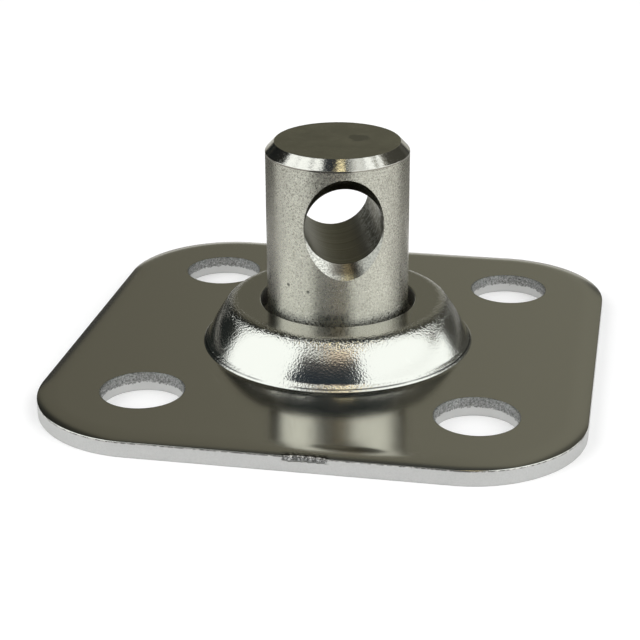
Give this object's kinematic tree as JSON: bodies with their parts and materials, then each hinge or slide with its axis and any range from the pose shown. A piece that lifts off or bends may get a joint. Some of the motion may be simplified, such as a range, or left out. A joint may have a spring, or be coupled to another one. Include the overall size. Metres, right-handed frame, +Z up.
{
  "type": "swivel base plate",
  "caption": "Square pressed deck plate with a raised dome holding a freely turning cross-bored post for a clevis pin.",
  "frame": {"origin": "on the deck, under the middle of the square plate", "axes": "+Z up along the post, +X along the front edge, -Y towards the front edge with the torn mark"},
  "size_m": [0.044, 0.044, 0.0191],
  "materials": {
    "polished_plate": "mirror polished stainless steel with fine scratches and orange peel on the drawn flank",
    "tumbled_post": "turned and tumbled stainless steel, finely speckled, with a bright chamfer"
  },
  "bodies": {
    "base": {"base_plate": "polished_plate"},
    "post": {"swivel_post": "tumbled_post"}
  },
  "joints": [
    {"name": "post_swivel", "type": "hinge", "parent": "base", "child": "post", "pos_m": [0, 0, 0], "axis": [0, 0, 1], "continuous": true}
  ]
}
